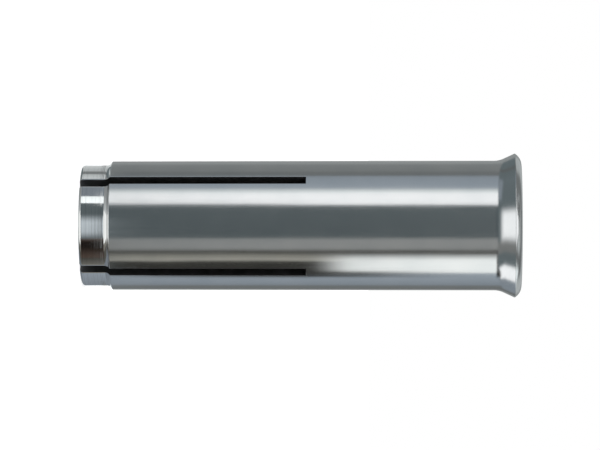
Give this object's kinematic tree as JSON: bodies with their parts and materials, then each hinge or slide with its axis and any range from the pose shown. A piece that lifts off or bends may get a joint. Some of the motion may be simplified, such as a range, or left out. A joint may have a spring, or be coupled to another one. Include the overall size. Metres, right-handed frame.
{
  "type": "drop-in anchor",
  "caption": "Steel drop-in wall anchor: a slotted sleeve with a lip and an internal thread, and a cone plug inside that spreads the slotted end.",
  "frame": {"origin": "centre of the nose's flat end face, which the anchor stands on", "axes": "+Z along the sleeve's axis from the slotted nose to the threaded mouth; the slots lie halfway between X and Y"},
  "size_m": [0.0132, 0.0132, 0.04],
  "materials": {
    "zinc_plated_steel": "bright zinc plating over turned steel",
    "plain_steel": "plain cut steel"
  },
  "bodies": {
    "anchor_body": {"sleeve": "zinc_plated_steel"},
    "plug": {"expander_plug": "plain_steel"}
  },
  "joints": [
    {"name": "plug_drive", "type": "slide", "parent": "anchor_body", "child": "plug", "axis": [0, 0, -1], "range_m": [0, 0.006]}
  ]
}
